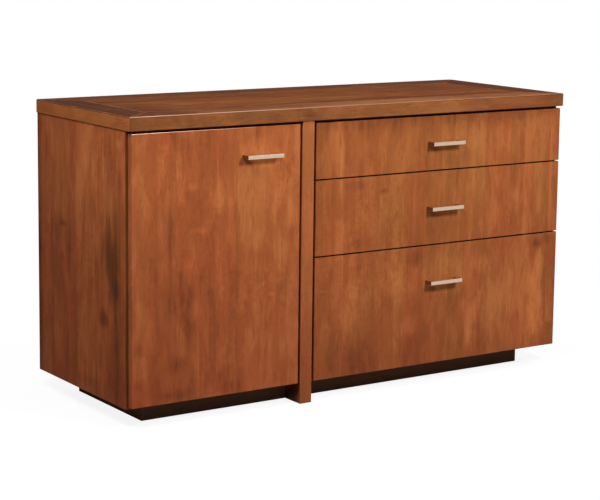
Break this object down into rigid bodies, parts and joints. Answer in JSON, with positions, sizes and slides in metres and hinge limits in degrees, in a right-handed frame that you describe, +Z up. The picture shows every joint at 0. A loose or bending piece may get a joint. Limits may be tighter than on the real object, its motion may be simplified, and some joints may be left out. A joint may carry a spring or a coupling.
{
  "type": "credenza",
  "caption": "Office storage cabinet with a framed wooden top, a hinged-door cupboard beside sliding drawers, a full-height divider and recessed plinths.",
  "frame": {"origin": "on the floor, at the middle of the box that bounds the whole closed credenza, pulls included", "axes": "+X from the cupboard to the drawers (to the right as one faces the fronts), +Y from the fronts to the back, +Z up"},
  "size_m": [1.372, 0.532, 0.77],
  "materials": {
    "case_wood": "reddish-brown stained veneer, satin lacquer, upright grain",
    "top_wood": "reddish-brown stained veneer, satin lacquer, grain along each board",
    "inner_wood": "plain stained veneer",
    "box_wood": "clear lacquered birch",
    "plinth_dark": "dull brown stain, matt",
    "pull_nickel": "brushed nickel, warm tone",
    "zinc_steel": "bright zinc plate"
  },
  "bodies": {
    "case": {"top_field": "top_wood", "top_border_front": "top_wood", "top_border_back": "top_wood", "top_border_left": "top_wood", "top_border_right": "top_wood", "side_panel_left": "case_wood", "side_panel_right": "case_wood", "divider_panel": "case_wood", "bottom_panel_left": "case_wood", "bottom_panel_right": "case_wood", "back_panel_left": "inner_wood", "back_panel_right": "inner_wood", "top_rail_left": "case_wood", "top_rail_right": "case_wood", "plinth_front_left": "plinth_dark", "plinth_back_left": "plinth_dark", "plinth_end_left": "plinth_dark", "plinth_front_right": "plinth_dark", "plinth_back_right": "plinth_dark", "plinth_end_right": "plinth_dark", "shelf": "case_wood", "shelf_pin_front_left": "zinc_steel", "shelf_pin_back_left": "zinc_steel", "shelf_pin_front_right": "zinc_steel", "shelf_pin_back_right": "zinc_steel", "hinge_arm_upper": "zinc_steel", "hinge_arm_lower": "zinc_steel", "runner_case_top_left": "zinc_steel", "runner_case_top_right": "zinc_steel", "runner_case_middle_left": "zinc_steel", "runner_case_middle_right": "zinc_steel", "runner_case_file_left": "zinc_steel", "runner_case_file_right": "zinc_steel"},
    "door": {"door": "case_wood", "door_pull": "pull_nickel", "hinge_cup_upper": "zinc_steel", "hinge_cup_lower": "zinc_steel", "hinge_pin_upper": "zinc_steel", "hinge_pin_lower": "zinc_steel"},
    "drawer_top": {"drawer_front_top": "case_wood", "drawer_pull_top": "pull_nickel", "drawer_box_top": "box_wood", "drawer_bottom_top": "box_wood", "runner_drawer_top_left": "zinc_steel", "runner_drawer_top_right": "zinc_steel"},
    "drawer_middle": {"drawer_front_middle": "case_wood", "drawer_pull_middle": "pull_nickel", "drawer_box_middle": "box_wood", "drawer_bottom_middle": "box_wood", "runner_drawer_middle_left": "zinc_steel", "runner_drawer_middle_right": "zinc_steel"},
    "drawer_file": {"drawer_front_file": "case_wood", "drawer_pull_file": "pull_nickel", "drawer_box_file": "box_wood", "drawer_bottom_file": "box_wood", "runner_drawer_file_left": "zinc_steel", "runner_drawer_file_right": "zinc_steel", "file_frame": "zinc_steel"},
    "file_runner": {"runner_middle_file_left": "zinc_steel", "runner_middle_file_right": "zinc_steel"}
  },
  "joints": [
    {"name": "door_swing", "type": "hinge", "parent": "case", "child": "door", "pos_m": [-0.66932, -0.2296, 0.392], "axis": [0, 0, -1], "range_deg": [0, 95]},
    {"name": "top_drawer_slide", "type": "slide", "parent": "case", "child": "drawer_top", "axis": [0, -1, 0], "range_m": [0, 0.34]},
    {"name": "middle_drawer_slide", "type": "slide", "parent": "case", "child": "drawer_middle", "axis": [0, -1, 0], "range_m": [0, 0.34]},
    {"name": "file_drawer_slide", "type": "slide", "parent": "case", "child": "drawer_file", "axis": [0, -1, 0], "range_m": [0, 0.45]},
    {"name": "file_runner_slide", "type": "slide", "parent": "case", "child": "file_runner", "axis": [0, -1, 0], "range_m": [0, 0.225]}
  ],
  "couplings": [
    {"joint": "file_runner_slide", "follows": "file_drawer_slide", "ratio": 0.5}
  ]
}
